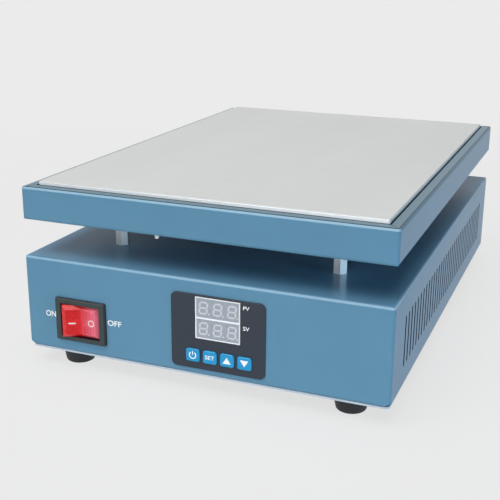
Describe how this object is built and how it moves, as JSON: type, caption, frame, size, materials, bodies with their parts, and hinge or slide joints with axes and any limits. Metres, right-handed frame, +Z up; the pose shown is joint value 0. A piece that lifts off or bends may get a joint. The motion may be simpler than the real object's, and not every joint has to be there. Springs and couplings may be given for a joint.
{
  "type": "lcd screen separator",
  "caption": "Heated plate in a shallow blue tray on hex standoffs above a folded steel case with a lighted rocker switch, a temperature controller and side vents.",
  "frame": {"origin": "on the ground under the middle of the case", "axes": "+X to the right seen from the front, +Y to the rear, +Z up; the controls face -Y"},
  "size_m": [0.212, 0.31, 0.1065],
  "materials": {
    "case_paint": "satin",
    "cover_paint": "satin",
    "plate_metal": "fine ground",
    "bright_steel": "nickel plated",
    "zinc_steel": "zinc plated",
    "clamp_steel": "plain",
    "foot_rubber": "matt",
    "grommet_rubber": "matt",
    "sleeve_fibre": "woven glass fibre",
    "mica": "matt",
    "ribbon_alloy": "dull",
    "brass": "plain",
    "blanket_fibre": "felted ceramic fibre",
    "spacer_ceramic": "unglazed",
    "black_plastic": "satin",
    "rocker_red": "gloss, translucent",
    "overlay_film": "satin",
    "display_white": "satin",
    "display_grey": "satin",
    "segment_white": "diffuse",
    "key_blue": "satin",
    "board_green": "solder mask",
    "block_green": "satin",
    "core_yellow": "taped",
    "can_blue": "sleeved",
    "sink_aluminium": "extruded",
    "strip_white": "satin",
    "tinned_brass": "tinned",
    "receptacle_red": "satin",
    "mains_cable": "satin",
    "heater_cable": "braided",
    "signal_cable": "satin"
  },
  "bodies": {
    "case": {"base_case": "case_paint", "bottom_plate": "cover_paint", "bottom_screws": "zinc_steel", "rubber_feet": "foot_rubber", "foot_screws": "zinc_steel", "case_nuts": "zinc_steel", "standoffs": "bright_steel", "standoff_screws": "zinc_steel", "lead_grommets": "grommet_rubber", "lead_sleeve": "sleeve_fibre", "top_tray": "case_paint", "tray_earth_screw": "zinc_steel", "tray_earth_nut": "zinc_steel", "heating_plate": "plate_metal", "plate_spacers": "spacer_ceramic", "plate_screws": "zinc_steel", "upper_mica": "mica", "heating_ribbon": "ribbon_alloy", "heater_tabs": "brass", "lower_mica": "mica", "clamp_plate": "clamp_steel", "clamp_screws": "zinc_steel", "insulation_blanket": "blanket_fibre", "thermocouple": "bright_steel", "thermocouple_screw": "zinc_steel", "switch_body": "black_plastic", "switch_terminals": "tinned_brass", "control_overlay": "overlay_film", "display_frame": "display_white", "display_face": "display_grey", "digit_segments": "segment_white", "control_board": "board_green", "board_pillars": "bright_steel", "board_screws": "zinc_steel", "tact_switches": "black_plastic", "board_transformer": "core_yellow", "board_capacitor": "can_blue", "board_terminals": "block_green", "heatsink": "sink_aluminium", "solid_state_relay": "black_plastic", "relay_screws": "zinc_steel", "relay_terminals": "brass", "terminal_strip": "strip_white", "strip_contacts": "brass", "strip_screws": "zinc_steel", "earth_stud": "brass", "earth_lug": "tinned_brass", "power_inlet": "black_plastic", "inlet_pins": "tinned_brass", "inlet_screws": "zinc_steel", "wire_receptacles": "receptacle_red", "mains_wires": "mains_cable", "heater_wires": "heater_cable", "signal_wires": "signal_cable"},
    "rocker": {"switch_rocker": "rocker_red"},
    "power_key": {"button_power": "key_blue"},
    "set_key": {"button_set": "key_blue"},
    "up_key": {"button_up": "key_blue"},
    "down_key": {"button_down": "key_blue"}
  },
  "joints": [
    {"name": "rocker_tilt", "type": "hinge", "parent": "case", "child": "rocker", "pos_m": [-0.07085, -0.1487, 0.0305], "axis": [0, 0, -1], "range_deg": [0, 24]},
    {"name": "power_key_press", "type": "slide", "parent": "case", "child": "power_key", "axis": [0, 1, 0], "range_m": [0, 0.0005], "stiffness_N_per_m": 500, "springref_m": -0.0005},
    {"name": "set_key_press", "type": "slide", "parent": "case", "child": "set_key", "axis": [0, 1, 0], "range_m": [0, 0.0005], "stiffness_N_per_m": 500, "springref_m": -0.0005},
    {"name": "up_key_press", "type": "slide", "parent": "case", "child": "up_key", "axis": [0, 1, 0], "range_m": [0, 0.0005], "stiffness_N_per_m": 500, "springref_m": -0.0005},
    {"name": "down_key_press", "type": "slide", "parent": "case", "child": "down_key", "axis": [0, 1, 0], "range_m": [0, 0.0005], "stiffness_N_per_m": 500, "springref_m": -0.0005}
  ]
}
